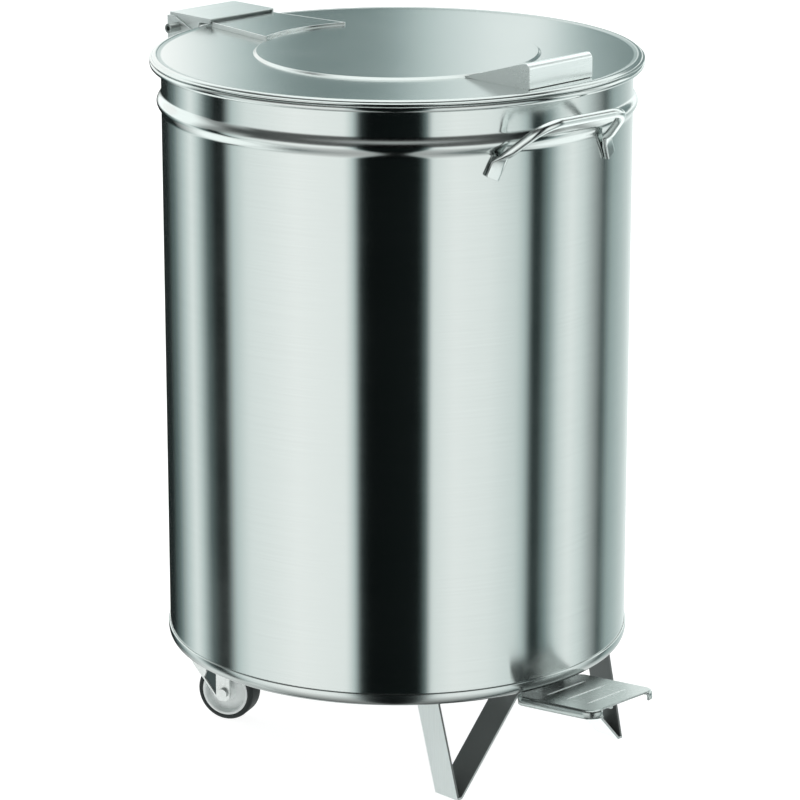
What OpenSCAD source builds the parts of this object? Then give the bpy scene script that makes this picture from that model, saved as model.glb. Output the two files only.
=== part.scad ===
// Round pedal bin: steel drum on two strap feet and two swivel castors, with a hinged lid
// that a foot pedal lifts through a lever and a push rod.
// +Z is up, the pedal is at the front (-Y), the lid hinge at the rear (+Y), the floor is z = 0.

/* [Drum] */
// Outside radius of the drum wall
drum_r = 190; // [180:1:200]
// Thickness of the drum sheet
sheet = 1; // [0.8:0.1:1.2]
// Height of the underside of the base pan above the floor
pan_z = 84; // [82:0.5:86]
// Height of the middle of the rolled rim
rim_z = 564.3; // [540:0.1:600]
// Radius of the rolled rim's section
rim_roll = 2.8; // [2.4:0.1:3]
// Reach of the rolled rim beyond the drum wall
rim_reach = 9; // [8:0.5:10]
// Height of the middle of the swage bead
bead_z = 533; // [526:1:536]
// Height of the bead over the wall
bead_out = 3.8; // [2:0.1:4.2]
// Half of the bead's width
bead_half = 9; // [6:0.5:10]

/* [Lid] */
// Thickness of the lid sheet
lid_sheet = 1; // [0.8:0.1:1.1]
// Radius of the raised disc in the middle of the lid
disc_r = 115.5; // [100:0.5:125]
// Height of the disc over the ring around it
disc_rise = 2.4; // [1:0.1:2.6]
// Full opening angle of the lid
lid_open = 75; // [60:1:75]
// Distance of the hinge axis behind the drum axis
hinge_y = 222.6; // [221:0.1:225]
// Height of the hinge axis
hinge_z = 565.8; // [565:0.1:567]
// Radius of the hinge pin
hinge_pin_r = 2.5; // [2:0.1:3]

/* [Handles] */
// Half of the width of the lid handle
hood_half = 35.5; // [30:0.5:36]
// Diameter of the carry handle's rod
rod_d = 7.5; // [6:0.5:8]
// Turn of the carry handle around the drum, away from the middle of the front
handle_turn = -3.5; // [-5:0.5:5]
// Half of the carry handle's length between the corners of its bow
grip_half = 42; // [38:1:46]

/* [Feet] */
// Width of the foot strap
strap_w = 25.2; // [20:0.2:28]
// Thickness of the foot strap
strap_t = 2; // [1.5:0.1:2.5]
// Distance from the middle to the outer corner of a foot's sole
sole_out = 97.8; // [92:0.1:100]
// Distance from the middle to the inner corner of a foot's sole
sole_in = 92.7; // [86:0.1:94]
// Distance of the front edge of a sole in front of the drum axis
sole_front = 168; // [160:0.5:170]

/* [Pedal] */
// Distance of the pedal pivot behind the drum axis
pivot_y = 69; // [60:1:75]
// Height of the pedal pivot
pivot_z = 40; // [38:0.5:44]
// Slope of the pedal lever at rest
lever_slope = 6.1; // [5:0.1:7]
// Half of the width of the tread
tread_half = 38.5; // [30:0.5:40]
// Reach of the tread's front edge from the pivot
tread_front = 330; // [325:1:335]
// Length of the tread
tread_len = 89; // [80:1:95]

/* [Castors] */
// Radius of the castor wheel
wheel_r = 25; // [24:0.5:26]
// Width of the castor wheel
wheel_w = 19.3; // [16:0.1:20]
// Distance of a swivel axis from the middle
swivel_x = 108.6; // [100:0.1:112]
// Distance of the swivel axes behind the drum axis
swivel_y = 117.7; // [105:0.1:120]
// Offset of the wheel from its swivel axis
trail = 20; // [16:0.5:22]
// Direction in which both castors trail at rest
castor_turn = 203; // [0:1:360]

/* [Hidden] */
$fn = 64;

steel = [0.78, 0.80, 0.79];
dark_steel = [0.62, 0.64, 0.64];
zinc = [0.70, 0.73, 0.75];
rubber = [0.07, 0.07, 0.08];
nylon = [0.88, 0.88, 0.85];

run_gap = 0.05;                                  // radial clearance of every running fit
fit_gap = 0.02;                                  // radial gap of pieces that are fixed together
eps = 0.5;                                       // how far a cutter runs past what it cuts

// Overall reach, which centres the whole bin on the origin
rim_out = drum_r + rim_reach;
bracket_back = hinge_y + 13.4;
front_reach = tread_front * cos(lever_slope) - pivot_y;
drum_y = (front_reach - bracket_back) / 2;

// Drum
pan_t = 1.2;
ring_low = pan_z - 3;
ring_top = ring_low + 10.5;
rim_mid = rim_out - rim_roll;
flange_top = rim_z + rim_roll;
wall_bottom = pan_z + pan_t + run_gap;
bead_steps = 12;

// Lid heights
lip_z = flange_top + 0.55;                       // underside of the lid's lip
lip_top = lip_z + lid_sheet;
ring_edge_z = lip_top - 0.05;                    // top of the ring where it meets the raised roll
ring_disc_z = ring_edge_z + 1.4;                 // top of the ring where it meets the disc
disc_z = ring_disc_z + disc_rise;
roll_mid = rim_out - 5.5;                        // raised roll just inside the lip
roll_r = 2.4;
function ring_z(r) = ring_disc_z - (r - disc_r) * (ring_disc_z - ring_edge_z) / (roll_mid - roll_r - disc_r);

// Lid handle
hood_t = 1.1;
hood_front = 180;
hood_slope = 16.5;
hood_bend = 5;
hood_start = disc_r + 0.5;

// Hinge
channel_half = 36.3;
channel_t = 2;
channel_front = 185;
channel_back = hinge_y + 12.4;
channel_top = 577;
cheek_gap = 0.3;
cheek_t = 2;
bracket_half = channel_half + cheek_gap + cheek_t;
cap_r = 3.9;
cap_len = 11;
drive_r = 16.6;                                  // distance of the drive pin from the hinge axis
drive_a = lid_open / 2;                          // it swings equally above and below the axis
drive_y = hinge_y - drive_r * cos(drive_a);
drive_z = hinge_z - drive_r * sin(drive_a);
drive_pin_r = 2.5;

// Push rod
rod_r = 3;
rod_y = hinge_y - drive_r * (1 + cos(drive_a)) / 2;
eye_t = 6;
eye_r = 6;
slot_gap = 0.45;                                 // room for the small sideways drift of the pins
drive_drift = drive_r * (1 - cos(drive_a)) / 2;

// Pedal lever
lever_half = 11;
lever_t = 2;
lever_top = 7.4;                                 // top of the lever over the pivot axis
lever_drop = 12;
tread_t = 1.5;
link_arm = (rod_y - pivot_y) / cos(lever_slope / 2);
link_z = pivot_z - link_arm * sin(lever_slope);
link_pin_r = 2.5;
link_drift = 0.45;
pivot_r = 4;

// Castors
plate_t = 3;
plate_half = 20;
plate_corner = 25;                               // reach of the plate's clipped corners from its middle
crown_top = pan_z - plate_t - 6;
kingpin_r = 6;
race_r = 15;
cheek_in = wheel_w / 2 + 1.5;
fork_t = 2;
cheek_out = cheek_in + fork_t;
recess = 1.2;                                    // depth of the pressed recess in each fork cheek
axle_r = 3;
axle_head_r = 4.2;
bush_r = 4;
hub_r = 20.6;

// Fasteners: centres of the rivets and screws that pass through the base pan
flange_mid = 34;
rivet_r = 2;
foot_rivet_xy = [for (s = [-1, 1]) each [
    [s * 34, -sole_front + 7], [s * 34, -sole_front + strap_w - 7],
    [s * 88, -139], [s * 88, -129]]];
pedal_rivet_xy = [for (sx = [-1, 1], sy = [-1, 1]) [sx * 21, pivot_y + sy * 8]];
screw_r = 2.1;
screw_half = 14;
screw_head = 2.8;
castor_screw_xy = [for (s = [-1, 1], a = [-1, 1], b = [-1, 1])
    [s * swivel_x + a * screw_half, swivel_y + b * screw_half]];

function arc(cx, cy, r, from, to, steps = 8) =
    [for (i = [0:steps]) let (a = from + (to - from) * i / steps) [cx + r * cos(a), cy + r * sin(a)]];

// Moves what is drawn around the drum axis to its place in the whole bin
module on_axis() translate([0, drum_y, 0]) children();

module lathe(points, fn = 180) rotate_extrude($fn = fn) polygon(points);

// A plate whose outline is given as [y, z] points, from x to x + thick
module side_plate(points, x, thick)
    translate([x, 0, 0]) rotate([90, 0, 90]) linear_extrude(thick) polygon(points);

// A round bar or bore along X
module bar_x(r, x0, x1) translate([x0, 0, 0]) rotate([0, 90, 0]) cylinder(r = r, h = x1 - x0);

module both_sides() {
    children();
    mirror([1, 0, 0]) children();
}

// ---------------------------------------------------------------- drum

function bead_curve(r) = [for (i = [0:bead_steps])
    let (t = 2 * i / bead_steps - 1)
    [r + bead_out * (1 + cos(180 * t)) / 2, bead_z + bead_half * t]];

module drum() on_axis() color(steel) difference() {
    union() {
        lathe(concat(
            [[drum_r, wall_bottom]],
            bead_curve(drum_r),
            [[drum_r, flange_top - sheet - 1.2], [drum_r + 1.2, flange_top - sheet],
             [rim_mid, flange_top - sheet], [rim_mid, flange_top], [drum_r, flange_top],
             [drum_r - sheet, flange_top - sheet]],
            [for (i = [bead_steps:-1:0]) bead_curve(drum_r - sheet)[i]],
            [[drum_r - sheet, wall_bottom]]));
        rotate_extrude($fn = 180) translate([rim_mid, rim_z]) circle(rim_roll, $fn = 24);
    }
    bracket_rivet_holes();
    guide_rivet_holes();
}

module base_pan() on_axis() color(steel) difference() {
    lathe([
        [0, pan_z], [drum_r - 4.5, pan_z], [drum_r - 3, ring_low + 0.5], [drum_r - 2, ring_low],
        [drum_r + 0.3, ring_low], [drum_r + 1, ring_low + 1], [drum_r + 1.4, ring_low + 3.2],
        [drum_r + 1.4, ring_top - 3.2], [drum_r + 1, ring_top - 1], [drum_r + 0.3, ring_top],
        [drum_r + run_gap, ring_top], [drum_r + run_gap, pan_z + pan_t], [0, pan_z + pan_t]]);
    drill(foot_rivet_xy, rivet_r);
    drill(pedal_rivet_xy, rivet_r);
    drill(castor_screw_xy, screw_r);
}

module drill(places, r)
    for (p = places) translate([p[0], p[1], pan_z - 10]) cylinder(r = r, h = 20, $fn = 24);

// ---------------------------------------------------------------- inner bucket

bucket_top = bead_z + 15;
bucket_r = drum_r - 12;
bucket_low_r = bucket_r - 8;
bucket_t = 0.8;
bail_r = bucket_r - 1;
bail_z = bucket_top + 8;
bail_wire = 2;
grip_a = 14;

module inner_bucket() on_axis() color(zinc) {
    z0 = pan_z + pan_t + 0.3;
    lathe([[0, z0], [bucket_low_r - 3, z0], [bucket_low_r, z0 + 3], [bucket_r, bucket_top - 6],
           [bucket_r + 3, bucket_top - 3], [bucket_r + 3, bucket_top], [bucket_r - bucket_t, bucket_top],
           [bucket_r - bucket_t, bucket_top - 6], [bucket_low_r - bucket_t, z0 + 3 + bucket_t],
           [bucket_low_r - 3, z0 + bucket_t], [0, z0 + bucket_t]]);
    both_sides() difference() {
        translate([bucket_r - 2.8, -8, bucket_top - 4]) cube([2, 16, 18]);
        translate([0, 0, bail_z]) bar_x(bail_wire + 0.1, bucket_r - 5, bucket_r + 5);
    }
}

module bucket_bail() on_axis() color(zinc) {
    translate([0, 0, bail_z]) rotate([0, 0, 182]) rotate_extrude(angle = 176, $fn = 120)
        translate([bail_r - 6, 0]) circle(bail_wire, $fn = 24);
    both_sides() translate([0, 0, bail_z]) bar_x(bail_wire, bail_r - 7.5, bail_r + 3.5);
    both_sides() translate([bail_r - 6, 0, bail_z]) rotate([90, 0, 0])
        translate([0, 0, -1]) cylinder(r = bail_wire, h = 8);
}

module bail_grip() on_axis() color(rubber)
    translate([0, 0, bail_z]) rotate([0, 0, 270 - grip_a]) rotate_extrude(angle = 2 * grip_a, $fn = 120)
        translate([bail_r - 6, 0]) difference() {
            circle(bail_wire + 2.5, $fn = 32);
            circle(bail_wire + fit_gap, $fn = 32);
        }

// ---------------------------------------------------------------- carry handle

bow_angle = 40.2;                                // rise of the bow's plane
bow_start = [0, -184.5, 521];                    // where that plane leaves the wall
bow_foot = 56;
bow_reach = 46.5;
bow_bend = 18;
arm_lean = atan2(bow_foot - grip_half, bow_reach);
bend_cut = bow_bend * tan((90 - arm_lean) / 2);
tab_turn = 18;
tab_lean = 25;

arm_end = [grip_half + bend_cut * sin(arm_lean), bow_reach - bend_cut * cos(arm_lean)];
grip_straight = grip_half - bend_cut;
bend_swell = 0.3;                                // how much thicker the rod is in its bends
weld_in = 0.3;                                   // how far the bow's straight pieces run into its bends

// Places what is drawn in the bow's plane, with X along the grip and Y away from the drum
module in_bow() translate(bow_start) rotate([-bow_angle, 0, 0]) mirror([0, 1, 0]) children();

// One of the rod's flattened ends, which are welded to the drum
module handle_tab() rotate([0, 0, tab_turn]) translate([0, -drum_r - 0.2, 514.5]) rotate([0, tab_lean, 0])
    translate([-6, -4, -9]) cube([12, 4, 18]);

module carry_handle() on_axis() color(steel) rotate([0, 0, handle_turn]) {
    in_bow() both_sides() {
        translate([bow_foot, 0, 0]) rotate([-90, 0, arm_lean])
            cylinder(d = rod_d, h = norm(arm_end - [bow_foot, 0]) + weld_in, $fn = 32);
        translate([grip_straight, bow_reach - bow_bend, 0]) rotate([0, 0, arm_lean])
            rotate_extrude(angle = 90 - arm_lean, $fn = 64)
            translate([bow_bend, 0]) circle(d = rod_d + bend_swell, $fn = 32);
    }
    in_bow() translate([0, bow_reach, 0]) bar_x(rod_d / 2, -grip_straight - weld_in, grip_straight + weld_in);
    both_sides() handle_tab();
}

// ---------------------------------------------------------------- hinge

web_low = bead_z - 43;
web_top = bead_z - 12.5;
bracket_rivet_at = [for (s = [-1, 1], z = [web_low + 7, web_top - 7]) [s * 7, z]];
guide_z = 300;
guide_half = 16;
guide_rivet_at = [for (s = [-1, 1]) [s * 3.8, guide_z]];

// Radial rivets through the drum wall, each given as [angle from the rear, height]
module radial(places) for (p = places)
    rotate([0, 0, p[0]]) translate([0, drum_r, p[1]]) rotate([-90, 0, 0]) children();

module bracket_rivet_holes() radial(bracket_rivet_at)
    translate([0, 0, -5]) cylinder(r = rivet_r, h = 10, $fn = 24);

module guide_rivet_holes() radial(guide_rivet_at)
    translate([0, 0, -5]) cylinder(r = rivet_r, h = 10, $fn = 24);

module hinge_bracket() on_axis() color(steel) difference() {
    union() {
        intersection() {
            lathe([[drum_r + run_gap, web_low], [drum_r + 2, web_low], [drum_r + 2, web_top],
                   [drum_r + run_gap, web_top]]);
            translate([-bracket_half, 0, web_low - 1])
                cube([2 * bracket_half, 2 * drum_r, web_top - web_low + 2]);
        }
        both_sides() side_plate([
            [drum_r - 2.7, web_low], [drum_r - 2.7, web_top], [drum_r + 1.6, web_top],
            [drum_r + 1.6, rim_z - 5.8], [rim_out + 2.5, rim_z - 5.8], [rim_out + 2.5, rim_z - 0.6],
            [hinge_y + 4.9, channel_top - 2.5], [bracket_back, channel_top - 2.5],
            [bracket_back, bead_z + 15], [drum_r + 14, web_low]], channel_half + cheek_gap, cheek_t);
    }
    translate([0, hinge_y, hinge_z]) bar_x(hinge_pin_r + fit_gap, -bracket_half - eps, bracket_half + eps);
    bracket_rivet_holes();
}

module bracket_rivets() on_axis() color(dark_steel) radial(bracket_rivet_at) blind_rivet(2);

// A rivet through the drum wall and a plate of the given thickness, with its axis along Z
module blind_rivet(plate) {
    translate([0, 0, -sheet - 1]) cylinder(r = rivet_r + 1.5, h = 0.8, $fn = 24);
    translate([0, 0, -sheet - 0.4]) cylinder(r = rivet_r - fit_gap, h = sheet + plate + 1, $fn = 24);
    translate([0, 0, plate + 0.3]) cylinder(r = rivet_r + 1.8, h = 1.3, $fn = 24);
}

module hinge_pin() on_axis() color(dark_steel) translate([0, hinge_y, hinge_z]) difference() {
    union() {
        bar_x(hinge_pin_r, -bracket_half - 1, bracket_half + 5.5);
        bar_x(cap_r, -bracket_half - cap_len, -bracket_half - fit_gap);
    }
    translate([-bracket_half - cap_len - eps, 0, 0]) rotate([0, 90, 0])
        cylinder(r = 2.3, h = 3.5 + eps, $fn = 6);
}

module hinge_nut() on_axis() color(dark_steel) translate([bracket_half + fit_gap, hinge_y, hinge_z])
    rotate([0, 90, 0]) difference() {
        cylinder(r = 4.6, h = 4, $fn = 6);
        translate([0, 0, -eps]) cylinder(r = hinge_pin_r + fit_gap, h = 4 + 2 * eps);
    }

module rod_guide() on_axis() color(steel) difference() {
    union() {
        intersection() {
            lathe([[drum_r + run_gap, guide_z - 8], [drum_r + 1.5, guide_z - 8],
                   [drum_r + 1.5, guide_z + 8], [drum_r + run_gap, guide_z + 8]]);
            translate([-guide_half, 0, guide_z - 9]) cube([2 * guide_half, 2 * drum_r, 18]);
        }
        translate([-8, drum_r + 0.5, guide_z - 8]) cube([16, rod_y + 8 - drum_r - 0.5, 2]);
    }
    translate([0, rod_y, guide_z - 10]) cylinder(r = 5, h = 6);
    guide_rivet_holes();
}

module guide_bush() on_axis() color(nylon) translate([0, rod_y, guide_z - 10]) difference() {
    union() {
        translate([0, 0, 1]) cylinder(r = 5 - fit_gap, h = 4);
        translate([0, 0, 4 + fit_gap]) cylinder(r = 7, h = 2);
    }
    cylinder(r = rod_r + run_gap, h = 10);
}

module guide_rivets() on_axis() color(dark_steel) radial(guide_rivet_at) blind_rivet(1.5);

// ---------------------------------------------------------------- feet

leg_lean = 0.907;                                // the inner leg's run inward for each mm of rise
outer_lean = 0.032;
outer_sweep = 0.256;                             // the outer leg's run backward for each mm of rise
leg_angle = atan(leg_lean);
leg_bend = 5;
bend_x = sole_in - leg_lean * (pan_z - leg_bend) + leg_bend / cos(leg_angle);

module foot() color(steel) difference() {
    union() {
        translate([0, -sole_front + strap_w, 0]) rotate([90, 0, 0]) linear_extrude(strap_w) polygon(concat(
            [[sole_out, 0], [sole_in, 0]],
            arc(bend_x, pan_z - leg_bend, leg_bend, 180 + leg_angle, 90),
            [[flange_mid + 14, pan_z], [flange_mid + 14, pan_z - strap_t]],
            arc(bend_x, pan_z - leg_bend, leg_bend - strap_t, 90, 180 + leg_angle),
            [[sole_in + 0.8, strap_t], [sole_out, strap_t]]));
        hull() {
            translate([sole_out - strap_t, -sole_front, 0]) cube([strap_t, strap_w, 0.2]);
            translate([sole_out - strap_t + outer_lean * pan_z, -sole_front + outer_sweep * pan_z, pan_z - 0.2])
                cube([strap_t, strap_w, 0.2]);
        }
        translate([78, -sole_front + outer_sweep * pan_z, pan_z - strap_t])
            cube([sole_out + outer_lean * pan_z - 78, strap_w, strap_t]);
    }
    drill(foot_rivet_xy, rivet_r);
}

module foot_right() on_axis() foot();
module foot_left() on_axis() mirror([1, 0, 0]) foot();

// Rivets up through the base pan, heads below
module pan_rivets(places, plate) for (p = places) translate([p[0], p[1], pan_z]) {
    translate([0, 0, -plate - 1.5 - fit_gap]) cylinder(r = rivet_r + 1.8, h = 1.5, $fn = 24);
    translate([0, 0, -plate - 1]) cylinder(r = rivet_r - fit_gap, h = plate + 1 + pan_t + 0.1, $fn = 24);
}

module foot_rivets() on_axis() color(dark_steel) pan_rivets(foot_rivet_xy, strap_t);

// ---------------------------------------------------------------- pedal

bracket_in = lever_half + 0.6;
bracket_t = 2.5;

module pedal_bracket() on_axis() color(steel) difference() {
    both_sides() {
        side_plate([[pivot_y - 15, pan_z], [pivot_y - 9, pivot_z - 4], [pivot_y - 5, pivot_z - 9],
                    [pivot_y + 5, pivot_z - 9], [pivot_y + 9, pivot_z - 4], [pivot_y + 15, pan_z]],
                   bracket_in, bracket_t);
        translate([bracket_in, pivot_y - 15, pan_z - bracket_t]) cube([16, 30, bracket_t]);
    }
    translate([0, pivot_y, pivot_z]) bar_x(pivot_r + fit_gap, -30, 30);
    drill(pedal_rivet_xy, rivet_r);
}

module pedal_rivets() on_axis() color(dark_steel) pan_rivets(pedal_rivet_xy, bracket_t);

module pivot_pin() on_axis() color(dark_steel) translate([0, pivot_y, pivot_z]) difference() {
    bar_x(pivot_r, -bracket_in - bracket_t - 4, bracket_in + bracket_t + 4);
    both_sides() clip_groove(pivot_r, bracket_in + bracket_t + 0.5);
}

module pivot_clips() on_axis() color(dark_steel) translate([0, pivot_y, pivot_z])
    both_sides() clip(pivot_r, bracket_in + bracket_t + 0.5);

// A groove around a pin along X, and the open retaining clip that sits in it
module clip_groove(r, x) translate([x, 0, 0]) rotate([0, 90, 0]) difference() {
    cylinder(r = r + 1, h = 1.2);
    translate([0, 0, -eps]) cylinder(r = r - 0.8, h = 1.2 + 2 * eps);
}

module clip(r, x) translate([x + 0.1, 0, 0]) rotate([0, 90, 0]) difference() {
    cylinder(r = r + 2, h = 1);
    translate([0, 0, -eps]) cylinder(r = r - 0.8 + fit_gap, h = 1 + 2 * eps);
    translate([-r - 3, -r * 0.6, -eps]) cube([r + 3, r * 1.2, 1 + 2 * eps]);
}

// Places what is drawn along the lever, with its pivot at the origin
module on_lever() on_axis() translate([0, pivot_y, pivot_z]) rotate([-lever_slope, 0, 0]) children();

module pedal_lever() on_lever() color(steel) difference() {
    union() {
        translate([-lever_half, -tread_front + 25, lever_top - lever_t])
            cube([2 * lever_half, tread_front - 25 + link_arm - 14, lever_t]);
        both_sides() side_plate([
            [-tread_front + 25, lever_top], [-tread_front + 25, lever_top - lever_drop],
            [-25, lever_top - lever_drop], [-10, lever_top - lever_drop - 4], [10, lever_top - lever_drop - 4],
            [25, lever_top - lever_drop], [link_arm - 20, lever_top - lever_drop],
            [link_arm - 3, -5.5], [link_arm + 3, -5.5], [link_arm + 6, -2.5], [link_arm + 6, lever_top]],
            lever_half - lever_t, lever_t);
    }
    bar_x(6, -lever_half - eps, lever_half + eps);
    translate([0, link_arm, 0]) bar_x(link_pin_r + fit_gap, -lever_half - eps, lever_half + eps);
}

module lever_bush() on_lever() color(nylon) difference() {
    bar_x(6 - fit_gap, -lever_half - 0.3, lever_half + 0.3);
    bar_x(pivot_r + run_gap, -lever_half - 1, lever_half + 1);
}

tread_top = lever_top + fit_gap + tread_t;
tread_skirt = 7;
tread_corner = 12;
tread_open = 11;                                 // the skirt wraps this far round each corner
groove_half = 24;
groove_at = [21, 43, 65];                        // distances of the grooves from the front edge

module tread_outline(inset) {
    half = tread_half - inset;
    front = -tread_front + inset;
    back = -tread_front + tread_len - inset;
    r = tread_corner - inset;
    polygon(concat(
        arc(half - r, front + r, r, -90, 0), arc(half - r, back - r, r, 0, 90),
        arc(-half + r, back - r, r, 90, 180), arc(-half + r, front + r, r, 180, 270)));
}

module pedal_tread() on_lever() color(steel) difference() {
    translate([0, 0, tread_top - tread_skirt]) linear_extrude(tread_skirt) tread_outline(0);
    translate([0, 0, tread_top - tread_skirt - 1])
        linear_extrude(tread_skirt + 1 - tread_t) tread_outline(tread_t);
    // the skirt is open at the middle of the front edge and of the back edge
    translate([-tread_half + tread_open, -tread_front - 1, tread_top - tread_skirt - 1])
        cube([2 * (tread_half - tread_open), tread_len + 2, tread_skirt + 1 - tread_t]);
    for (g = groove_at) translate([-groove_half, -tread_front + g - 0.6, tread_top - 0.5])
        cube([2 * groove_half, 1.2, 1]);
}

module link_pin() on_lever() color(dark_steel) translate([0, link_arm, 0]) difference() {
    bar_x(link_pin_r, -lever_half - 3.5, lever_half + 3.5);
    both_sides() clip_groove(link_pin_r, lever_half + 0.5);
}

module link_clips() on_lever() color(dark_steel) translate([0, link_arm, 0])
    both_sides() clip(link_pin_r, lever_half + 0.5);

// ---------------------------------------------------------------- push rod

head_low = drive_z - 22;
foot_high = link_z + 22;

module push_rod() on_axis() color(steel) translate([0, rod_y, foot_high - 8])
    cylinder(r = rod_r, h = head_low - foot_high + 16);

// A flat eye on a threaded sleeve, with a slot that lets its pin drift along Y
module rod_eye(drift, pin_r) difference() {
    union() {
        for (s = [-1, 1]) translate([0, s * drift, 0]) bar_x(eye_r, -eye_t / 2, eye_t / 2);
        translate([-eye_t / 2, -drift, -eye_r]) cube([eye_t, 2 * drift, 2 * eye_r]);
        translate([0, 0, -22]) cylinder(r = 5, h = 14);
        translate([-eye_t / 2, -4, -12]) cube([eye_t, 8, 8]);
    }
    for (s = [-1, 1]) translate([0, s * drift, 0]) bar_x(pin_r + slot_gap, -eye_t, eye_t);
    translate([-eye_t, -drift, -pin_r - slot_gap]) cube([2 * eye_t, 2 * drift, 2 * (pin_r + slot_gap)]);
    translate([0, 0, -23]) cylinder(r = rod_r + fit_gap, h = 9.5);
}

module rod_head() on_axis() color(dark_steel)
    translate([0, rod_y, drive_z]) rod_eye(drive_drift, drive_pin_r);

module rod_foot() on_axis() color(dark_steel) translate([0, rod_y, link_z]) mirror([0, 0, 1])
    rod_eye(link_drift, link_pin_r);

module rod_locknuts() on_axis() color(dark_steel)
    for (z = [head_low - 4 - fit_gap, foot_high + fit_gap]) translate([0, rod_y, z]) difference() {
        cylinder(r = 5.8, h = 4, $fn = 6);
        translate([0, 0, -eps]) cylinder(r = rod_r + fit_gap, h = 4 + 2 * eps);
    }

// ---------------------------------------------------------------- lid

module lid_shell() on_axis() color(steel) lathe(concat(
    [[0, disc_z], [disc_r - 2.7, disc_z], [disc_r, ring_disc_z], [roll_mid - roll_r, ring_edge_z]],
    arc(roll_mid, lip_top + 0.4, roll_r, 180, 0, 10),
    [[rim_out - 0.6, lip_top], [rim_out, lip_top - 0.5], [rim_out, lip_z],
     [roll_mid + roll_r - lid_sheet, lip_z]],
    arc(roll_mid, lip_top + 0.4, roll_r - lid_sheet, 0, 180, 10),
    [[roll_mid - roll_r, ring_edge_z - lid_sheet], [disc_r - 0.4, ring_disc_z - lid_sheet],
     [disc_r - 3.1, disc_z - lid_sheet], [0, disc_z - lid_sheet]]));

// Outline of the hood in [y, z], drawn in by the given amount
function hood_outline(inset) =
    let (rise = tan(hood_slope),
         y_c = -hood_front + hood_bend,
         z_c = ring_disc_z + 2.6 + rise * (-hood_start - y_c) - hood_bend / cos(hood_slope),
         r = hood_bend - inset,
         top_y = y_c + r * sin(hood_slope),
         top_z = z_c + r * cos(hood_slope),
         back_y = -disc_r + 16)
    concat([[back_y, top_z - rise * (back_y - top_y)]],
           arc(y_c, z_c, r, 90 - hood_slope, 180, 6),
           [[-hood_front + inset, ring_z(hood_front) + 0.2 - 2 * inset],
            [back_y, ring_z(-back_y) + 0.2 - 2 * inset]]);

module lid_handle() on_axis() color(steel) difference() {
    side_plate(hood_outline(0), -hood_half, 2 * hood_half);
    side_plate(hood_outline(hood_t), -hood_half + hood_t, 2 * (hood_half - hood_t));
    translate([0, 0, ring_edge_z - 5]) cylinder(r = hood_start, h = 40, $fn = 180);
    translate([-hood_half - 1, -hood_front - 1, ring_edge_z - 5]) cube([2 * hood_half + 2, 2.5, 7]);
}

strap_back = 200;
strap_wide = 44.5;
strap_narrow = 33.9;
strap_plate = 1.4;
strap_z = channel_top - 3;

module lid_strap() on_axis() color(steel) difference() {
    union() {
        translate([0, 0, strap_z - strap_plate]) linear_extrude(strap_plate) polygon([
            [strap_wide, 105], [strap_narrow, channel_front], [strap_narrow, strap_back],
            [-strap_narrow, strap_back], [-strap_narrow, channel_front], [-strap_wide, 105]]);
        both_sides() translate([strap_wide, 105, 0])
            rotate([0, 0, atan2(strap_wide - strap_narrow, channel_front - 105)])
            side_plate([[0, strap_z], [0, ring_z(disc_r) + 0.1], [81, ring_z(188) + 0.1], [81, strap_z]],
                       -strap_plate, strap_plate);
    }
    translate([0, 0, ring_edge_z - 5]) cylinder(r = disc_r + 0.2, h = 20, $fn = 180);
}

module hinge_channel() on_axis() color(steel) difference() {
    union() {
        translate([-channel_half, channel_front, channel_top - 1.4])
            cube([2 * channel_half, channel_back - channel_front, 1.4]);
        both_sides() side_plate(concat(
            [[channel_front, channel_top - 1], [channel_front, strap_z - 1.4], [198.2, strap_z - 1.4],
             [202.2, hinge_z - 3]],
            arc(drive_y, drive_z, 6.2, 180, 290),
            [[hinge_y + 8, hinge_z - 6], [channel_back, hinge_z], [channel_back, channel_top - 1]]),
            channel_half - channel_t, channel_t);
    }
    translate([0, hinge_y, hinge_z]) bar_x(4.5, -channel_half - eps, channel_half + eps);
    translate([0, drive_y, drive_z]) bar_x(drive_pin_r + fit_gap, -channel_half - eps, channel_half + eps);
}

module hinge_bushes() on_axis() color(nylon) translate([0, hinge_y, hinge_z]) both_sides() difference() {
    union() {
        bar_x(4.5 - fit_gap, channel_half - channel_t - 3, channel_half);
        bar_x(6.5, channel_half - channel_t - 1.5, channel_half - channel_t - fit_gap);
    }
    bar_x(hinge_pin_r + run_gap, channel_half - 10, channel_half + 1);
}

module drive_pin() on_axis() color(dark_steel) translate([0, drive_y, drive_z]) difference() {
    bar_x(drive_pin_r, -channel_half - 0.1, channel_half + 0.1);
    both_sides() clip_groove(drive_pin_r, eye_t / 2 + 0.5);
}

module drive_clips() on_axis() color(dark_steel) translate([0, drive_y, drive_z])
    both_sides() clip(drive_pin_r, eye_t / 2 + 0.5);

// ---------------------------------------------------------------- castors

// Places what is drawn around a swivel axis; the wheel trails along +Y there
module at_castor(side) on_axis() translate([side * swivel_x, swivel_y, 0]) children();
module on_fork(side) at_castor(side) rotate([0, 0, castor_turn]) children();

module castor_plate(side) at_castor(side) color(zinc) difference() {
    intersection() {
        translate([-plate_half, -plate_half, pan_z - plate_t])
            cube([2 * plate_half, 2 * plate_half, plate_t]);
        translate([0, 0, pan_z - plate_t]) cylinder(r = plate_corner, h = plate_t);
    }
    translate([0, 0, pan_z - plate_t - eps]) cylinder(r = kingpin_r + fit_gap, h = plate_t + 2 * eps);
    for (a = [-1, 1], b = [-1, 1]) translate([a * screw_half, b * screw_half, pan_z - plate_t - eps])
        cylinder(r = screw_r, h = plate_t + 2 * eps, $fn = 24);
}

module castor_screws() on_axis() color(dark_steel) for (p = castor_screw_xy) translate([p[0], p[1], pan_z]) {
    translate([0, 0, -plate_t - screw_head - fit_gap]) cylinder(r = 4, h = screw_head, $fn = 6);
    translate([0, 0, -plate_t - 1]) cylinder(r = screw_r - fit_gap, h = plate_t + 1 + pan_t + 0.1, $fn = 24);
}

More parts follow.
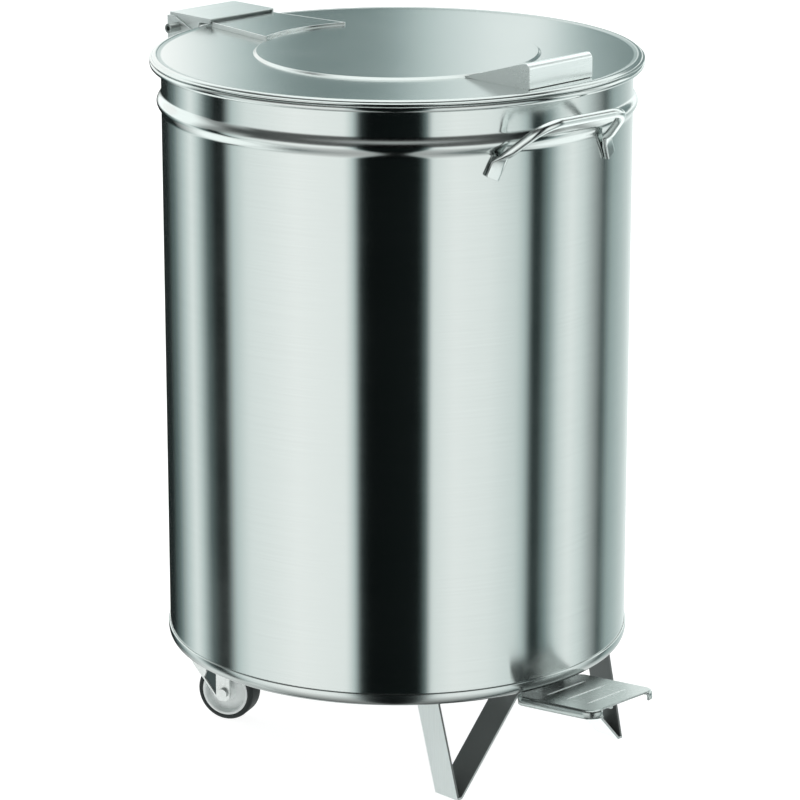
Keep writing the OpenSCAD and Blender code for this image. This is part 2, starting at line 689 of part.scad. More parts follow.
module ball_race(side) at_castor(side) color(zinc)
    lathe([[kingpin_r + 0.5, crown_top + 0.3], [race_r, crown_top + 0.3], [race_r, crown_top + 2],
           [race_r - 2, pan_z - plate_t - fit_gap], [kingpin_r + 0.5, pan_z - plate_t - fit_gap]], 64);

module kingpin(side) at_castor(side) color(dark_steel) {
    translate([0, 0, crown_top - fork_t - 3.8]) cylinder(r = kingpin_r + 3, h = 3.5);
    translate([0, 0, crown_top - fork_t - 1])
        cylinder(r = kingpin_r, h = pan_z - crown_top + fork_t + 1 - fit_gap);
}

module fork(side) on_fork(side) color(zinc) difference() {
    union() {
        translate([0, 0, crown_top - fork_t]) cylinder(r = 19.5, h = fork_t);
        translate([-cheek_out, -8, crown_top - fork_t]) cube([2 * cheek_out, trail + 14, fork_t]);
        both_sides() side_plate([
            [trail + 6, crown_top], [trail + 6, 20.5], [trail + 3, 17.5], [trail - 4, 17.5],
            [trail - 7.5, 21], [-7.6, 47.3], [-13, 60], [-13, crown_top]], cheek_in, fork_t);
    }
    // behind the strip that carries the axle, each cheek is pressed inward
    both_sides() side_plate([
        [trail - 6.8, 22.8], [trail - 6.8, crown_top - 4], [4.6, crown_top - 4], [4.6, 42], [3.7, 38.8],
        [2.6, 37]], cheek_out - recess, recess + 1);
    translate([0, 0, crown_top - fork_t - eps]) cylinder(r = kingpin_r + run_gap, h = fork_t + 2 * eps);
    translate([0, trail, wheel_r]) bar_x(axle_r + fit_gap, -cheek_out - eps, cheek_out + eps);
}

module on_wheel(side) on_fork(side) translate([0, trail, wheel_r]) children();

module axle(side) on_wheel(side) color(dark_steel) {
    bar_x(axle_r, -cheek_out - 5, cheek_out + 1);
    bar_x(axle_head_r, cheek_out + fit_gap, cheek_out + 3);
}

module axle_nut(side) on_wheel(side) color(dark_steel) difference() {
    translate([-cheek_out - 4.5, 0, 0]) rotate([0, 90, 0]) cylinder(r = 5.7, h = 4.5 - fit_gap, $fn = 6);
    bar_x(axle_r + fit_gap, -cheek_out - 6, -cheek_out + 1);
}

module wheel_bush(side) on_wheel(side) color(dark_steel) difference() {
    bar_x(bush_r, -cheek_in + fit_gap, cheek_in - fit_gap);
    bar_x(axle_r + fit_gap, -cheek_in - 1, cheek_in + 1);
}

module hub(side) on_wheel(side) color(dark_steel) rotate([0, 90, 0]) {
    half = wheel_w / 2;
    boss = cheek_in - 0.4;
    lathe([[bush_r + run_gap, -boss], [8, -boss], [8.5, -4], [17.2, -5.5], [18, -half], [hub_r, -half],
           [hub_r, half], [18, half], [17.2, 5.5], [8.5, 4], [8, boss], [bush_r + run_gap, boss]], 64);
}

module tyre(side) on_wheel(side) color(rubber) rotate([0, 90, 0]) {
    half = wheel_w / 2;
    lathe(concat([[hub_r + fit_gap, -half + 0.1]], arc(wheel_r - 2.5, -half + 2.6, 2.5, -90, 0, 5),
                 arc(wheel_r - 2.5, half - 2.6, 2.5, 0, 90, 5), [[hub_r + fit_gap, half - 0.1]]), 96);
}

module castor_plate_left() castor_plate(-1);
module castor_plate_right() castor_plate(1);
module ball_race_left() ball_race(-1);
module ball_race_right() ball_race(1);
module kingpin_left() kingpin(-1);
module kingpin_right() kingpin(1);
module fork_left() fork(-1);
module fork_right() fork(1);
module axle_left() axle(-1);
module axle_right() axle(1);
module axle_nut_left() axle_nut(-1);
module axle_nut_right() axle_nut(1);
module wheel_bush_left() wheel_bush(-1);
module wheel_bush_right() wheel_bush(1);
module hub_left() hub(-1);
module hub_right() hub(1);
module tyre_left() tyre(-1);
module tyre_right() tyre(1);

drum();
base_pan();
inner_bucket();
bucket_bail();
bail_grip();
carry_handle();
hinge_bracket();
bracket_rivets();
hinge_pin();
hinge_nut();
rod_guide();
guide_bush();
guide_rivets();
foot_left();
foot_right();
foot_rivets();
pedal_bracket();
pedal_rivets();
pivot_pin();
pivot_clips();
castor_plate_left();
castor_plate_right();
castor_screws();
ball_race_left();
ball_race_right();
kingpin_left();
kingpin_right();
lid_shell();
lid_handle();
lid_strap();
hinge_channel();
hinge_bushes();
drive_pin();
drive_clips();
push_rod();
rod_head();
rod_foot();
rod_locknuts();
pedal_lever();
pedal_tread();
lever_bush();
link_pin();
link_clips();
fork_left();
fork_right();
axle_left();
axle_right();
axle_nut_left();
axle_nut_right();
wheel_bush_left();
wheel_bush_right();
hub_left();
hub_right();
tyre_left();
tyre_right();
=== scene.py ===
"""Round stainless-steel pedal bin: finished meshes, materials, studio and camera around the CAD part."""
import math

import bmesh
import bpy
from mathutils import Matrix, Vector


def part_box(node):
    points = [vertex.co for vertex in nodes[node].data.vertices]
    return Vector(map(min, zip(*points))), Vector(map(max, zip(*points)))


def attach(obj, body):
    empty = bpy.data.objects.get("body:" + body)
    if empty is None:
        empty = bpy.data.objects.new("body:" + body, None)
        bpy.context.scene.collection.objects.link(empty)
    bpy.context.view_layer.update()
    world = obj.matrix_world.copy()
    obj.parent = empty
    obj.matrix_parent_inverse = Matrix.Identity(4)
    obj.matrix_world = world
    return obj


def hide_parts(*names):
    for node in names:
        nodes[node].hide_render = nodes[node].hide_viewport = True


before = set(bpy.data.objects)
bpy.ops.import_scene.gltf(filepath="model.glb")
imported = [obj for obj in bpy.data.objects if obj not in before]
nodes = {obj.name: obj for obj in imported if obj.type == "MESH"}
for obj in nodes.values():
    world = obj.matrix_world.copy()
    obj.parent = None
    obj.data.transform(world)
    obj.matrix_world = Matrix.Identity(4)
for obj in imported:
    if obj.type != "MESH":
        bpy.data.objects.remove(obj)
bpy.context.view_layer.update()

scene = bpy.context.scene

# ---------------------------------------------------------------- driving sizes, in millimetres if not said

MM = 0.001
drum_low, drum_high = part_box("drum")
# The drum's axis on the floor, in metres
AXIS = Vector((0, (drum_low.y + drum_high.y) / 2, 0))
# From millimetres about the axis to the frame that all pieces share
TO_ROW = Matrix.Translation(AXIS) @ Matrix.Scale(MM, 4)

DRUM_R = 190
SHEET = 1
PAN_Z = 84
PAN_SHEET = 1.2
WALL_BOTTOM = PAN_Z + 1.3
RING_LOW = PAN_Z - 3
RING_TOP = RING_LOW + 10.5
RIM_Z = 564.3
RIM_ROLL = 2.8
RIM_OUT = DRUM_R + 9
RIM_MID = RIM_OUT - RIM_ROLL
FLANGE_TOP = RIM_Z + RIM_ROLL
BEAD_Z, BEAD_OUT, BEAD_HALF = 533, 3.8, 9

LIP_Z = FLANGE_TOP + 0.55
LIP_TOP = LIP_Z + SHEET
RING_EDGE_Z = LIP_TOP - 0.05
DISC_R = 115.5
RING_DISC_Z = RING_EDGE_Z + 1.4
DISC_Z = RING_DISC_Z + 2.4
ROLL_MID = RIM_OUT - 5.5
ROLL_R = 2.4

CASTOR_X, CASTOR_Y = 108.6, 117.7
CASTOR_TURN = Matrix.Rotation(math.radians(203), 4, "Z")

# The camera, in radians, metres and a lens in millimetres
CAMERA_AZIMUTH = math.radians(-44.6)
CAMERA_ELEVATION = math.radians(16.3345)
CAMERA_DISTANCE = 3.0876
CAMERA_TARGET_Z = 0.2784
CAMERA_LENS = 168.25
CAMERA_SHIFT = 0.0035
# Level directions away from the camera and to its right
AWAY = Vector((-math.sin(CAMERA_AZIMUTH), math.cos(CAMERA_AZIMUTH), 0))
RIGHT = Vector((math.cos(CAMERA_AZIMUTH), math.sin(CAMERA_AZIMUTH), 0))


# ---------------------------------------------------------------- node helpers

class Tree:
    """Short calls for building a node tree."""

    def __init__(self, tree):
        self.nodes, self.links = tree.nodes, tree.links

    def add(self, kind, inputs=None, **settings):
        node = self.nodes.new(kind)
        for key, value in settings.items():
            setattr(node, key, value)
        for key, value in (inputs or {}).items():
            if isinstance(value, bpy.types.NodeSocket):
                self.links.new(value, node.inputs[key])
            else:
                node.inputs[key].default_value = value
        return node

    def math(self, operation, a, b=0.0):
        return self.add("ShaderNodeMath", {0: a, 1: b}, operation=operation).outputs[0]

    def multiply(self, a, b):
        return self.math("MULTIPLY", a, b)

    def vector(self, x, y, z):
        return self.add("ShaderNodeCombineXYZ", {0: x, 1: y, 2: z}).outputs[0]

    def split(self, vector):
        return self.add("ShaderNodeSeparateXYZ", {0: vector}).outputs

    def dot(self, a, b):
        return self.add("ShaderNodeVectorMath", {0: a, 1: b}, operation="DOT_PRODUCT").outputs["Value"]

    def coordinates(self, kind):
        return self.add("ShaderNodeTexCoord").outputs[kind]

    def noise(self, vector, scale=1.0, detail=3.0, roughness=0.5):
        return self.add("ShaderNodeTexNoise", {"Vector": vector, "Scale": scale, "Detail": detail,
                                               "Roughness": roughness}).outputs["Fac"]

    def spread(self, value, low, high, from_low=0.3, from_high=0.7):
        """Maps a value to the range from low to high, by default from a noise's usual range."""
        return self.add("ShaderNodeMapRange", {"Value": value, "From Min": from_low, "From Max": from_high,
                                               "To Min": low, "To Max": high}).outputs[0]

    def mix(self, factor, a, b, blend="MIX"):
        node = self.add("ShaderNodeMix", data_type="RGBA", blend_type=blend)
        for socket, value in ((node.inputs[0], factor), (node.inputs[6], a), (node.inputs[7], b)):
            if isinstance(value, bpy.types.NodeSocket):
                self.links.new(value, socket)
            else:
                socket.default_value = value
        return node.outputs[2]

    def ramp(self, value, stops):
        node = self.add("ShaderNodeValToRGB", {0: value})
        ramp = node.color_ramp
        while len(ramp.elements) < len(stops):
            ramp.elements.new(0.5)
        for element, (place, colour) in zip(ramp.elements, stops):
            element.position = place
            element.color = colour
        return node.outputs[0]

    def tint(self, colour, shade):
        """A colour with its brightness multiplied by shade."""
        level = self.add("ShaderNodeCombineColor", {0: shade, 1: shade, 2: shade}).outputs[0]
        return self.mix(1.0, (*colour, 1), level, blend="MULTIPLY")

    def bump(self, height, strength, distance):
        return self.add("ShaderNodeBump", {"Height": height, "Strength": strength,
                                           "Distance": distance}).outputs[0]


def grey(level):
    return (level, level, level, 1)


def new_material(name):
    material = bpy.data.materials.new(name)
    material.use_nodes = True
    tree = Tree(material.node_tree)
    shader = tree.nodes["Principled BSDF"]
    return material, tree, shader


def set_shader(shader, tree, **values):
    for key, value in values.items():
        socket = shader.inputs[key.replace("_", " ")]
        if isinstance(value, bpy.types.NodeSocket):
            tree.links.new(value, socket)
        else:
            socket.default_value = value


# ---------------------------------------------------------------- materials

def object_place(tree):
    """The place on the object, in millimetres about the drum's axis."""
    coords = tree.coordinates("Object")
    moved = tree.add("ShaderNodeVectorMath", {0: coords, 1: AXIS}, operation="SUBTRACT").outputs[0]
    return tree.add("ShaderNodeVectorMath", {0: moved, "Scale": 1 / MM}, operation="SCALE").outputs[0]


def grain_coords(tree, place, grain):
    """Coordinates that change slowly along the brushing and quickly across it."""
    x, y, z = tree.split(place)
    if grain == "round":
        slow, fast = 0.012, 0.9
        along = tree.multiply(tree.math("ARCTAN2", y, x), DRUM_R)
        return tree.vector(tree.multiply(along, slow), tree.multiply(z, fast), 0.0)
    slow, fast = 0.02, 1.1
    rates = [slow if axis == grain else fast for axis in "xyz"]
    return tree.vector(*(tree.multiply(value, rate) for value, rate in zip((x, y, z), rates)))


def brushed_steel(name, grain, roughness, colour=(0.655, 0.69, 0.68), anisotropy=0.0, contrast=0.05,
                  wear=0.04, metallic=1.0, painted_shade_heights=None, inward_painted_shade=1.0):
    """Satin sheet: brushing lines in colour, gloss and relief, with faint handling marks.

    Painted shade heights is a range of heights over which the sheet goes from a painted shade, darker towards
    the bottom, to full brightness. Inward painted shade is the brightness of the faces that look up or
    inwards, under the bin: a painted shade on those faces."""
    material, tree, shader = new_material(name)
    place = object_place(tree)
    x, _, z = tree.split(place)
    lines = tree.noise(grain_coords(tree, place, grain), scale=1.0, detail=6.0, roughness=0.75)
    marks = tree.noise(place, scale=0.02, detail=4.0, roughness=0.6)
    shade = tree.multiply(tree.spread(lines, 1 - contrast, 1 + contrast),
                          tree.spread(marks, 1 - wear / 2, 1.0))
    # Painted shade: the sheet is darker towards the bottom over the given heights
    if painted_shade_heights:
        shade = tree.multiply(shade, tree.spread(z, 0.22, 1.0, *painted_shade_heights))
    # Painted shade on the faces that look up or inwards, under the bin
    if inward_painted_shade < 1:
        sideways, _, up = tree.split(tree.coordinates("Normal"))
        inwards = tree.multiply(tree.math("SIGN", x), tree.multiply(sideways, -0.5))
        inward_painted_shade_factor = tree.spread(tree.math("ADD", up, inwards), 1.0, inward_painted_shade, -0.2, 0.15)
        shade = tree.multiply(shade, inward_painted_shade_factor)
    gloss = tree.math("ADD", tree.spread(lines, roughness - 0.02, roughness + 0.02),
                      tree.spread(marks, 0.0, wear))
    set_shader(shader, tree, Base_Color=tree.tint(colour, shade), Metallic=metallic, Roughness=gloss,
               Normal=tree.bump(lines, 0.05, 0.0001))
    if anisotropy:
        set_shader(shader, tree, Anisotropic=anisotropy, Anisotropic_Rotation=0.25)
        tangent = tree.add("ShaderNodeTangent", direction_type="RADIAL", axis="Z").outputs[0]
        set_shader(shader, tree, Tangent=tangent)
    return material


def plated_steel(name, colour, roughness, metallic=1.0):
    """Zinc plate and plain fasteners: a soft mottle with slightly uneven gloss."""
    material, tree, shader = new_material(name)
    place = object_place(tree)
    mottle = tree.noise(place, scale=0.6, detail=5.0, roughness=0.7)
    patches = tree.noise(place, scale=0.072, detail=2.0)
    shade = tree.multiply(tree.spread(mottle, 0.92, 1.08), tree.spread(patches, 0.9, 1.05))
    set_shader(shader, tree, Base_Color=tree.tint(colour, shade), Metallic=metallic,
               Roughness=tree.spread(patches, roughness - 0.04, roughness + 0.06),
               Normal=tree.bump(mottle, 0.08, 0.0001))
    return material


def galvanised_steel():
    """Hot-dip spangle: angular crystals of different greys."""
    material, tree, shader = new_material("galvanised")
    place = object_place(tree)
    crystals = tree.add("ShaderNodeTexVoronoi", {"Vector": place, "Scale": 0.11}).outputs["Color"]
    level = tree.add("ShaderNodeSeparateColor", {0: crystals}).outputs[0]
    fine = tree.noise(place, scale=0.8, detail=4.0)
    shade = tree.multiply(tree.spread(level, 0.86, 1.04, 0.0, 1.0), tree.spread(fine, 0.96, 1.03))
    set_shader(shader, tree, Base_Color=tree.tint((0.56, 0.59, 0.61), shade), Metallic=1.0,
               Roughness=tree.spread(level, 0.30, 0.42, 0.0, 1.0))
    return material


def moulded(name, colour, roughness, contrast=0.08, relief=0.15, flank=None):
    """Rubber or plastic with a fine moulded skin and slight dust.

    Flank is the way the tyre's sidewalls face, which keep full colour: the rest of the surface, the tread,
    gets a painted shade, down to a quarter as bright."""
    material, tree, shader = new_material(name)
    place = object_place(tree)
    skin = tree.noise(place, scale=1.2, detail=5.0, roughness=0.65)
    dust = tree.noise(place, scale=0.096, detail=3.0)
    shade = tree.multiply(tree.spread(skin, 1 - contrast, 1 + contrast), tree.spread(dust, 0.92, 1.1))
    # Painted shade on the faces that do not look along the flank
    if flank:
        facing = tree.math("ABSOLUTE", tree.dot(tree.coordinates("Normal"), flank))
        shade = tree.multiply(shade, tree.spread(facing, 0.25, 1.0, 0.2, 0.9))
    set_shader(shader, tree, Base_Color=tree.tint(colour, shade), Metallic=0.0,
               Roughness=tree.spread(dust, roughness - 0.05, roughness + 0.08),
               Normal=tree.bump(skin, relief, 0.0002))
    return material


# The way the castors' axles point at rest: tyre faces turned this way keep full colour, and the tread gets a
# painted shade
TYRE_FLANK = CASTOR_TURN @ Vector((1, 0, 0))

WALL_STEEL = brushed_steel("wall_steel", "round", 0.13, anisotropy=0.95, wear=0.02, contrast=0.035)
# The ring's lower part carries a painted shade, darker towards the bottom
RING_STEEL = brushed_steel("ring_steel", "round", 0.15, painted_shade_heights=(RING_LOW, RING_TOP - 3))
LID_STEEL = brushed_steel("lid_steel", "x", 0.17, contrast=0.03)
SHEET_X = brushed_steel("sheet_steel_x", "x", 0.19)
SHEET_Y = brushed_steel("sheet_steel_y", "y", 0.19)
# Brackets: a lighter colour than the other sheet, a painted light; the higher roughness below is the satin
# finish
SATIN_PAINTED_LIGHT = {"colour": (0.82, 0.87, 0.86), "metallic": 0.72}
SATIN_PAINTED_LIGHT_X = brushed_steel("satin_painted_light_steel_x", "x", 0.34, **SATIN_PAINTED_LIGHT)
SATIN_PAINTED_LIGHT_Z = brushed_steel("satin_painted_light_steel_z", "z", 0.34, **SATIN_PAINTED_LIGHT)
# Feet: a lighter colour than the other sheet, a painted light, and a painted shade on the faces that look up
# or inwards
STRAP_STEEL = brushed_steel("strap_steel", "z", 0.36, colour=(0.90, 0.95, 0.94), metallic=0.55, inward_painted_shade=0.2)
TREAD_STEEL = brushed_steel("tread_steel", "y", 0.24, colour=(0.50, 0.54, 0.53), contrast=0.12)
ROD_STEEL = brushed_steel("rod_steel", "x", 0.19, colour=(0.76, 0.8, 0.79), contrast=0.03)
ZINC = plated_steel("zinc_plate", (0.78, 0.81, 0.80), 0.3, metallic=0.75)
FASTENER = plated_steel("fastener_steel", (0.52, 0.535, 0.53), 0.26)
DARK_CAP = plated_steel("cap_steel", (0.42, 0.45, 0.44), 0.3)
# The lid handle's colour, lighter than the other sheet, is a painted light
HOOD_PAINTED_LIGHT_STEEL = brushed_steel("hood_painted_light_steel", "x", 0.26, colour=(0.94, 0.985, 0.975), metallic=0.9)
# A lighter steel for folded edges and pressed ribs: a painted highlight
PAINTED_HIGHLIGHT_STEEL = brushed_steel("edge_painted_highlight_steel", "x", 0.3, colour=(0.95, 0.99, 0.98), metallic=0.5)
# A near-black zinc for the fork cheek recesses: a painted shade
RECESS_PAINTED_SHADE = plated_steel("recess_painted_shade_zinc", (0.06, 0.08, 0.08), 0.4, metallic=0.8)
GALVANISED = galvanised_steel()
RUBBER = moulded("rubber", (0.02, 0.026, 0.026), 0.5)
TYRE_RUBBER = moulded("tyre_rubber", (0.016, 0.023, 0.023), 0.6, flank=TYRE_FLANK)
HUB_PLASTIC = moulded("hub_plastic", (0.80, 0.84, 0.83), 0.32, contrast=0.03, relief=0.05)
NYLON = moulded("nylon", (0.72, 0.72, 0.68), 0.4, contrast=0.03)


# ---------------------------------------------------------------- mesh helpers

def arc(cx, cz, r, start, end, steps=8):
    """Points of an arc, angles in degrees."""
    angles = (math.radians(start + (end - start) * i / steps) for i in range(steps + 1))
    return [(cx + r * math.cos(a), cz + r * math.sin(a)) for a in angles]


def lathe(profile, steps):
    """Turns a closed outline of (radius, height) points about the drum's axis."""
    bm = bmesh.new()
    turns = [2 * math.pi * i / steps for i in range(steps)]
    rings = []
    for r, z in profile:
        places = [(r * math.cos(a), r * math.sin(a), z) for a in turns] if r else [(0, 0, z)]
        rings.append([bm.verts.new(place) for place in places])
    for low, high in zip(rings, rings[1:] + rings[:1]):
        for i in range(steps):
            j = (i + 1) % steps
            corners = (low[i % len(low)], low[j % len(low)], high[j % len(high)], high[i % len(high)])
            # A ring on the axis is one point, which leaves a triangle or nothing
            corners = list(dict.fromkeys(corners))
            if len(corners) > 2:
                bm.faces.new(corners)
    return bm


def skin(sections):
    """Joins closed cross-sections, each a list of points in space, into one solid."""
    bm = bmesh.new()
    rings = [[bm.verts.new(p) for p in section] for section in sections]
    count = len(rings[0])
    for low, high in zip(rings, rings[1:]):
        for i in range(count):
            j = (i + 1) % count
            bm.faces.new((low[i], low[j], high[j], high[i]))
    bm.faces.new(rings[0][::-1])
    bm.faces.new(rings[-1])
    return bm


def piece(name, bm, body, material, stands_for=(), place=Matrix(), sharp=35):
    """Makes one finished object from mesh data in millimetres about the drum's axis."""
    bmesh.ops.remove_doubles(bm, verts=bm.verts, dist=1e-4)
    bmesh.ops.recalc_face_normals(bm, faces=bm.faces)
    bm.transform(TO_ROW @ place)
    mesh = bpy.data.meshes.new(name)
    bm.to_mesh(mesh)
    bm.free()
    mesh.polygons.foreach_set("use_smooth", [True] * len(mesh.polygons))
    mesh.set_sharp_from_angle(angle=math.radians(sharp))
    mesh.materials.append(material)
    obj = bpy.data.objects.new(name, mesh)
    scene.collection.objects.link(obj)
    normals = obj.modifiers.new("normals", "WEIGHTED_NORMAL")
    normals.keep_sharp = True
    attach(obj, body)
    if stands_for:
        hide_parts(*stands_for)
    return obj


def soften(obj, width):
    """Rounds an object's hard edges the way folded or turned metal is rounded."""
    bevel = obj.modifiers.new("bevel", "BEVEL")
    bevel.width = width * MM
    bevel.segments = 2
    bevel.limit_method = "ANGLE"
    bevel.angle_limit = math.radians(35)
    normals = obj.modifiers.new("normals", "WEIGHTED_NORMAL")
    normals.keep_sharp = False


def dress(node, material, edge=0.0):
    """Gives a CAD node its finished material, and rounded edges where they show."""
    obj = nodes[node]
    obj.data.materials.clear()
    obj.data.materials.append(material)
    if edge:
        weld = obj.modifiers.new("weld", "WELD")
        weld.merge_threshold = 1e-6
        soften(obj, edge)


# ---------------------------------------------------------------- drum and base

ROUND_STEPS = 384


def bead_profile(r, steps=20):
    """The swage bead on a wall of that radius, from its low edge to its high edge."""
    points = []
    for i in range(steps + 1):
        t = 2 * i / steps - 1
        points.append((r + BEAD_OUT * (1 + math.cos(math.pi * t)) / 2, BEAD_Z + BEAD_HALF * t))
    return points


def make_drum():
    """The wall with its bead, turned out to a flange that ends in the rolled rim."""
    inner, bend = DRUM_R - SHEET, 1.2
    bend_x, bend_z = DRUM_R + bend, FLANGE_TOP - SHEET - bend
    outside = [(DRUM_R, WALL_BOTTOM)] + bead_profile(DRUM_R) + arc(bend_x, bend_z, bend, 180, 90, 4)
    roll = arc(RIM_MID, RIM_Z, RIM_ROLL, -200, 90, 28)
    inside = arc(bend_x, bend_z, bend + SHEET, 90, 180, 5)
    inside += bead_profile(inner)[::-1] + [(inner, WALL_BOTTOM)]
    piece("drum_wall", lathe(outside + roll + inside, ROUND_STEPS), "bin", WALL_STEEL, ["drum"])


def make_base():
    """The pan, with the rounded ring round it that grips the wall."""
    out = DRUM_R + 1.4
    belly_z, tuck = RING_TOP - 2.6, 4.6
    profile = [(0, PAN_Z), (out - tuck - 1.5, PAN_Z), (out - tuck - 0.3, RING_LOW + 0.3)]
    for degrees in range(-90, 1, 9):
        a = math.radians(degrees)
        profile.append((out - tuck + tuck * math.cos(a), belly_z + (belly_z - RING_LOW) * math.sin(a)))
    profile += [(out, RING_TOP - 0.7), (out - 0.35, RING_TOP - 0.1), (DRUM_R + 0.2, RING_TOP)]
    profile += [(DRUM_R + 0.05, RING_TOP - 0.3), (DRUM_R + 0.05, PAN_Z + PAN_SHEET), (0, PAN_Z + PAN_SHEET)]
    piece("base_pan_skin", lathe(profile, ROUND_STEPS), "bin", RING_STEEL, ["base_pan"])


# ---------------------------------------------------------------- lid

def make_lid():
    """A raised disc, a flat ring round it, an edge roll and a flat lip that lies on the rim."""
    inner_roll = ROLL_R - SHEET
    disc_z, ring_z = DISC_Z - 0.5, RING_DISC_Z + 0.1
    top = [(0, disc_z)] + arc(DISC_R - 2.2, disc_z - 0.9, 0.9, 90, 30, 5)
    top += arc(DISC_R + 0.3, ring_z + 0.8, 0.8, 210, 268, 5)
    top += [(ROLL_MID - 4.2, ring_z), (ROLL_MID - 3.1, ring_z + 0.25)]
    for degrees in range(125, -1, -9):
        a = math.radians(degrees)
        top.append((ROLL_MID + 0.9 + 2.9 * math.cos(a), LIP_TOP + 0.1 + 2.3 * math.sin(a)))
    top += [(RIM_OUT - 0.6, LIP_TOP)] + arc(RIM_OUT - 0.5, LIP_TOP - 0.5, 0.5, 90, 0, 4)
    top += [(RIM_OUT, LIP_Z), (ROLL_MID + inner_roll, LIP_Z)]
    under = arc(ROLL_MID, LIP_TOP + 0.2, inner_roll, 0, 90, 7) + [(ROLL_MID - 3, ring_z - SHEET - 0.5)]
    under += [(DISC_R - 0.4, ring_z - SHEET), (DISC_R - 2.6, disc_z - SHEET), (0, disc_z - SHEET)]
    piece("lid_skin", lathe(top + under, ROUND_STEPS), "lid", LID_STEEL, ["lid_shell"])


def make_strap_edge_highlights():
    """Strips of a lighter steel on the folded edges of the plate that stiffens the lid, a painted highlight:
    one round the disc, one on each side.
    """
    low, top = RING_DISC_Z + 0.05, 574.15
    left, right = 90 + 22, 90 - 22
    outlines = [arc(0, 0, DISC_R + 0.3, left, right, 24) + arc(0, 0, DISC_R + 1.3, right, left, 24)]
    for side in (-1, 1):
        outlines.append([(side * x, y) for x, y in ((43.9, 107), (45.1, 107), (34.5, 184), (33.3, 184))])
    for number, outline in enumerate(outlines):
        edge = skin([[Vector((x, y, level)) for x, y in outline] for level in (low, top)])
        soften(piece(f"strap_edge_{number}", edge, "lid", PAINTED_HIGHLIGHT_STEEL), 0.35)


# ---------------------------------------------------------------- carry handle

def cross_section(middle, tangent, normal, half_side, half_up, power=2, count=32):
    """A superellipse square to the tangent: power 2 is an ellipse, and more is nearer a rectangle."""
    side = tangent.cross(normal).normalized()
    up = side.cross(tangent).normalized()
    points = []
    for i in range(count):
        a = 2 * math.pi * i / count
        c, s = math.cos(a), math.sin(a)
        points.append(middle + side * math.copysign(abs(c) ** (2 / power), c) * half_side
                      + up * math.copysign(abs(s) ** (2 / power), s) * half_up)
    return points


def make_carry_handle():
    """A round rod bent at each corner, its ends flattened against the wall.

    The bow is drawn flat, with x across it and s out from the wall, and then rises at an angle."""
    rise, reach, foot, grip, bend, rod_r = math.radians(40.2), 46.5, 56, 42, 21, 3.75
    lean = math.atan2(foot - grip, reach)
    cut = bend * math.tan((math.pi / 2 - lean) / 2)
    leg = [(foot - s * math.sin(lean), s * math.cos(lean)) for s in (4, 8, 13)]
    sizes = [(5.2, 2.7), (4.4, 3.3), (rod_r, rod_r)]
    half = leg + arc(grip - cut, reach - bend, bend, math.degrees(lean), 90, 16)
    sizes += [(rod_r, rod_r)] * (len(half) - len(sizes))
    in_space = [Vector((x, -184.5 - s * math.cos(rise), 521 + s * math.sin(rise))) for x, s in half]
    rod = in_space + [Vector((-p.x, p.y, p.z)) for p in in_space[::-1]]
    bow_normal = Vector((0, math.sin(rise), math.cos(rise)))
    bow = []
    for i, (p, size) in enumerate(zip(rod, sizes + sizes[::-1])):
        tangent = (rod[min(i + 1, len(rod) - 1)] - rod[max(i - 1, 0)]).normalized()
        bow.append(cross_section(p, tangent, bow_normal, *size))
    tab_angle, tab_lean = math.radians(18), math.radians(25)
    tabs = []
    for side in (1, -1):
        inward = Vector((-side * math.sin(tab_angle), math.cos(tab_angle), 0))
        across = Vector((side * math.cos(tab_angle), math.sin(tab_angle), 0))
        tab_up = Vector((0, 0, math.cos(tab_lean))) - across * math.sin(tab_lean)
        middle = Vector((0, 0, 514.5)) - inward * (DRUM_R + 2.2)
        tabs.append([cross_section(middle + tab_up * along, tab_up * side, inward, 6 * size, 2 * size, 6)
                     for along, size in ((-8.8, 0.9), (-8.3, 1), (-3, 1), (3, 1))])
    turn = Matrix.Rotation(math.radians(-3.5), 4, "Z")
    whole = skin(tabs[0] + bow + tabs[1][::-1])
    piece("carry_handle_rod", whole, "bin", ROD_STEEL, ["carry_handle"], turn, sharp=50)


# ---------------------------------------------------------------- pedal tread

LEVER_SLOPE = math.radians(-6.1)
PIVOT_Y, PIVOT_Z = 69, 40
ON_LEVER = Matrix.Translation((0, PIVOT_Y, PIVOT_Z)) @ Matrix.Rotation(LEVER_SLOPE, 4, "X")
TREAD_HALF, TREAD_FRONT, TREAD_LEN, TREAD_CORNER = 38.5, 330, 89, 12
TREAD_TOP, TREAD_SHEET, TREAD_SKIRT = 8.92, 1.5, 7


def rounded_outline(inset, corner_steps=10):
    """The tread's outline drawn in by inset."""
    r = TREAD_CORNER - inset
    side, front = TREAD_HALF - TREAD_CORNER, TREAD_CORNER - TREAD_FRONT
    back = TREAD_LEN - TREAD_CORNER - TREAD_FRONT
    middles = [(side, front), (side, back), (-side, back), (-side, front)]
    points = []
    for corner, (x, y) in enumerate(middles):
        start = 90 * (corner - 1)
        points += arc(x, y, r, start, start + 90, corner_steps)
    return points


